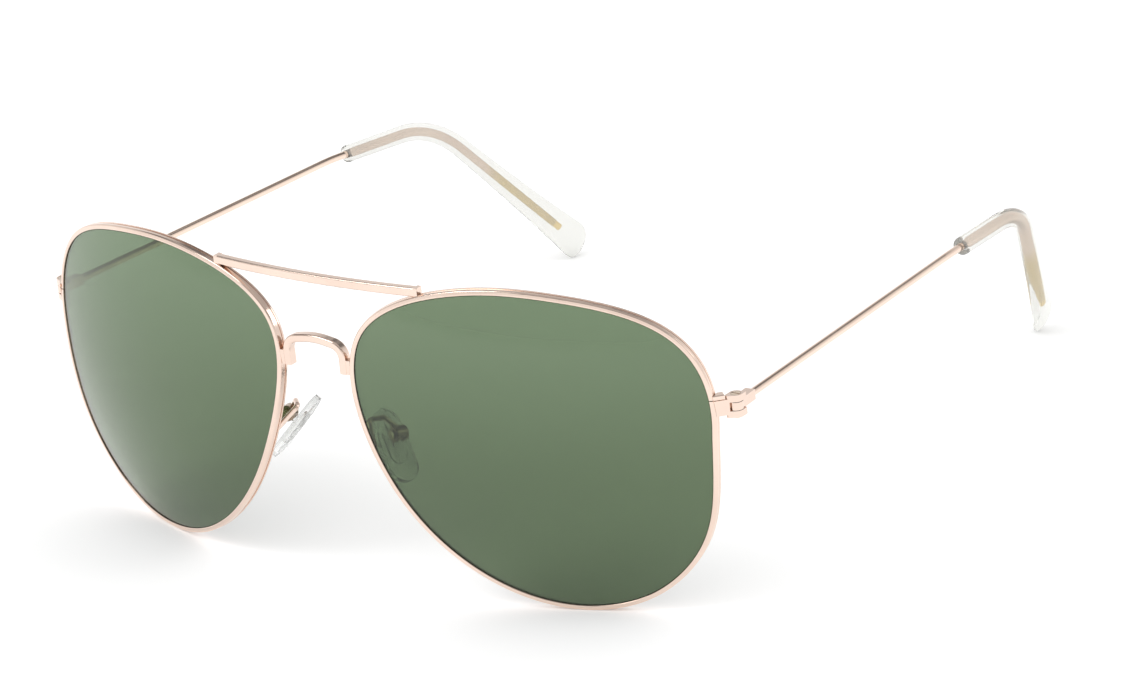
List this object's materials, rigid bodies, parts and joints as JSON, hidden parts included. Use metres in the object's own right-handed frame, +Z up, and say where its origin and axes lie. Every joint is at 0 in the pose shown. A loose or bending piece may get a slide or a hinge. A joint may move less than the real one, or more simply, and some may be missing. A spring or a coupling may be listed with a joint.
{
  "type": "sunglasses",
  "caption": "Aviator sunglasses with wire rims, tinted lenses, brow bar, folding wire temples with clear tips, and swivelling nose pads.",
  "frame": {"origin": "middle of the footprint, on the surface that the open glasses stand on", "axes": "+Z up, the lenses face -Y, +X towards the wearer's left, temples run back along +Y"},
  "size_m": [0.139, 0.1429, 0.0551],
  "materials": {
    "frame_metal": "polished rose-gold plate",
    "screw_metal": "polished",
    "tinted_lens": "grey-green tinted, polished",
    "clear_tip": "clear, polished",
    "clear_silicone": "clear, satin",
    "pad_plastic": "clear"
  },
  "bodies": {
    "front": {"brow_bar": "frame_metal", "bridge": "frame_metal", "rim_left": "frame_metal", "end_piece_left": "frame_metal", "lock_block_left": "frame_metal", "rim_screw_left": "screw_metal", "hinge_screw_left": "screw_metal", "pad_screw_left": "screw_metal", "lens_left": "tinted_lens", "pad_arm_left": "frame_metal", "pad_box_left": "frame_metal", "rim_right": "frame_metal", "end_piece_right": "frame_metal", "lock_block_right": "frame_metal", "rim_screw_right": "screw_metal", "hinge_screw_right": "screw_metal", "pad_screw_right": "screw_metal", "lens_right": "tinted_lens", "pad_arm_right": "frame_metal", "pad_box_right": "frame_metal"},
    "temple_left": {"temple_hinge_left": "frame_metal", "temple_wire_left": "frame_metal", "temple_tip_left": "clear_tip"},
    "temple_right": {"temple_hinge_right": "frame_metal", "temple_wire_right": "frame_metal", "temple_tip_right": "clear_tip"},
    "nose_pad_left": {"pad_core_left": "pad_plastic", "nose_pad_left": "clear_silicone"},
    "nose_pad_right": {"pad_core_right": "pad_plastic", "nose_pad_right": "clear_silicone"}
  },
  "joints": [
    {"name": "temple_fold_left", "type": "hinge", "parent": "front", "child": "temple_left", "pos_m": [0.0683, -0.0522, 0.03595], "axis": [0, 0, 1], "range_deg": [0, 82]},
    {"name": "temple_fold_right", "type": "hinge", "parent": "front", "child": "temple_right", "pos_m": [-0.0683, -0.0522, 0.03595], "axis": [0, 0, -1], "range_deg": [0, 75]},
    {"name": "pad_swivel_left", "type": "hinge", "parent": "front", "child": "nose_pad_left", "pos_m": [0.01133, -0.0652, 0.02714], "axis": [-0.3166, -0.9356, 0.1565], "range_deg": [-10, 10]},
    {"name": "pad_swivel_right", "type": "hinge", "parent": "front", "child": "nose_pad_right", "pos_m": [-0.01133, -0.0652, 0.02714], "axis": [0.3166, -0.9356, 0.1565], "range_deg": [-10, 10]}
  ]
}
